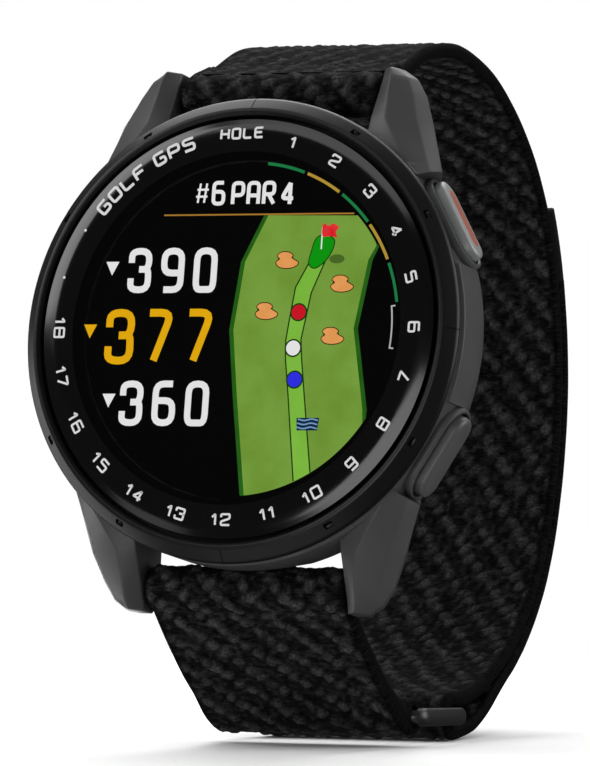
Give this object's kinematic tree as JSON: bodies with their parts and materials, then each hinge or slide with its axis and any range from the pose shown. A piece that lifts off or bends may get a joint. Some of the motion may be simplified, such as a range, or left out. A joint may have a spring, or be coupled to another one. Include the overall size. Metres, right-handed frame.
{
  "type": "golf gps watch",
  "caption": "Round wristwatch with a golf-hole screen, hole-number ring, two side buttons and a woven loop strap folded back through a ring.",
  "frame": {"origin": "centre of the sensor window's flat face, which rests on the wrist", "axes": "the dial faces -Y, +Y points into the wrist, +Z is 12 o'clock, +X is 3 o'clock"},
  "size_m": [0.043, 0.0584, 0.0658],
  "materials": {
    "cover_glass": "polished chemically strengthened glass with a bevelled edge",
    "bezel_metal": "dark grey anodised and finely brushed",
    "index_print": "black print with silver numerals",
    "display_screen": "lit colour screen under the glass",
    "inner_polymer": "moulded black-grey polymer",
    "antenna_metal": "plated track on a ring",
    "circuit_board": "green solder mask",
    "shield_metal": "tinned steel can",
    "battery_foil": "silver pouch foil",
    "case_polymer": "slate grey fibre-reinforced polymer, fine matt grain",
    "cover_polymer": "dark grey satin polymer",
    "sensor_glass": "black polished sensor window",
    "port_polymer": "black insert",
    "seal_rubber": "black elastomer",
    "stripe_orange": "orange-red inlay",
    "button_polymer": "grey satin cap",
    "ring_metal": "dark grey satin",
    "tip_tab": "black moulded hook tab",
    "strap_weave": "black woven nylon with a fuzzy ribbed pile and plain hemmed edges",
    "contact_gold": "gold-plated contact",
    "steel": "stainless steel"
  },
  "bodies": {
    "case": {"antenna_ring": "antenna_metal", "back_cover": "cover_polymer", "back_screw_1": "steel", "back_screw_2": "steel", "back_screw_3": "steel", "back_screw_4": "steel", "battery": "battery_foil", "bezel": "bezel_metal", "case_body": "case_polymer", "case_gasket": "seal_rubber", "charge_pin_1": "contact_gold", "charge_pin_2": "contact_gold", "charge_pin_3": "contact_gold", "charge_pin_4": "contact_gold", "charge_port": "port_polymer", "display_panel": "display_screen", "display_tray": "inner_polymer", "glass_lens": "cover_glass", "index_ring": "index_print", "lens_gasket": "seal_rubber", "lower_button_seal": "seal_rubber", "lower_button_spring": "steel", "lower_switch": "inner_polymer", "main_board": "circuit_board", "processor_shield": "shield_metal", "radio_shield": "shield_metal", "sensor_board": "circuit_board", "sensor_window": "sensor_glass", "upper_button_seal": "seal_rubber", "upper_button_spring": "steel", "upper_switch": "inner_polymer", "vibration_motor": "shield_metal"},
    "upper_button": {"upper_button_cap": "button_polymer", "upper_button_stripe": "stripe_orange", "upper_button_stem": "steel", "upper_button_clip": "steel"},
    "lower_button": {"lower_button_cap": "button_polymer", "lower_button_stem": "steel", "lower_button_clip": "steel"},
    "strap_upper": {"long_strap_upper": "strap_weave", "top_bar_tube": "steel", "top_bar_spring": "steel"},
    "top_release": {"top_bar_plunger": "steel"},
    "strap_back": {"long_strap_back": "strap_weave"},
    "strap_tail": {"long_strap_tail": "strap_weave", "strap_tip_tab": "tip_tab"},
    "strap_lower": {"short_strap": "strap_weave", "bottom_bar_tube": "steel", "bottom_bar_spring": "steel"},
    "bottom_release": {"bottom_bar_plunger": "steel"},
    "ring": {"strap_ring": "ring_metal"}
  },
  "joints": [
    {"name": "upper_button_press", "type": "slide", "parent": "case", "child": "upper_button", "axis": [-0.866, 0, -0.5], "range_m": [0, 0.0003], "stiffness_N_per_m": 2500, "springref_m": -0.0004, "deforming": ["upper_button_spring"]},
    {"name": "lower_button_press", "type": "slide", "parent": "case", "child": "lower_button", "axis": [-0.866, 0, 0.5], "range_m": [0, 0.0003], "stiffness_N_per_m": 2500, "springref_m": -0.0004, "deforming": ["lower_button_spring"]},
    {"name": "strap_sway", "type": "hinge", "parent": "case", "child": "strap_upper", "pos_m": [0, -0.0036, 0.023], "axis": [1, 0, 0], "range_deg": [-5, 5]},
    {"name": "long_strap_flex", "type": "hinge", "parent": "strap_upper", "child": "strap_back", "pos_m": [0, 0.0147, 0.0309], "axis": [1, 0, 0], "range_deg": [-3.8, 3.8]},
    {"name": "tail_peel", "type": "hinge", "parent": "strap_back", "child": "strap_tail", "pos_m": [0, 0.02617, -0.03256], "axis": [-1, 0, 0], "range_deg": [0, 15]},
    {"name": "short_strap_sway", "type": "hinge", "parent": "case", "child": "strap_lower", "pos_m": [0, -0.0036, -0.023], "axis": [1, 0, 0], "range_deg": [-5.6, 5.6]},
    {"name": "ring_pivot", "type": "hinge", "parent": "strap_lower", "child": "ring", "pos_m": [0, 0.0129, -0.03245], "axis": [1, 0, 0], "range_deg": [-4.2, 4.2]},
    {"name": "top_bar_release", "type": "slide", "parent": "strap_upper", "child": "top_release", "axis": [-1, 0, 0], "range_m": [0, 0.0012], "stiffness_N_per_m": 1200, "springref_m": -0.0006, "deforming": ["top_bar_spring"]},
    {"name": "bottom_bar_release", "type": "slide", "parent": "strap_lower", "child": "bottom_release", "axis": [-1, 0, 0], "range_m": [0, 0.0012], "stiffness_N_per_m": 1200, "springref_m": -0.0006, "deforming": ["bottom_bar_spring"]}
  ],
  "couplings": [
    {"joint": "long_strap_flex", "follows": "strap_sway", "ratio": -0.7147},
    {"joint": "short_strap_sway", "follows": "strap_sway", "ratio": 1.077},
    {"joint": "ring_pivot", "follows": "strap_sway", "ratio": -0.7917}
  ]
}
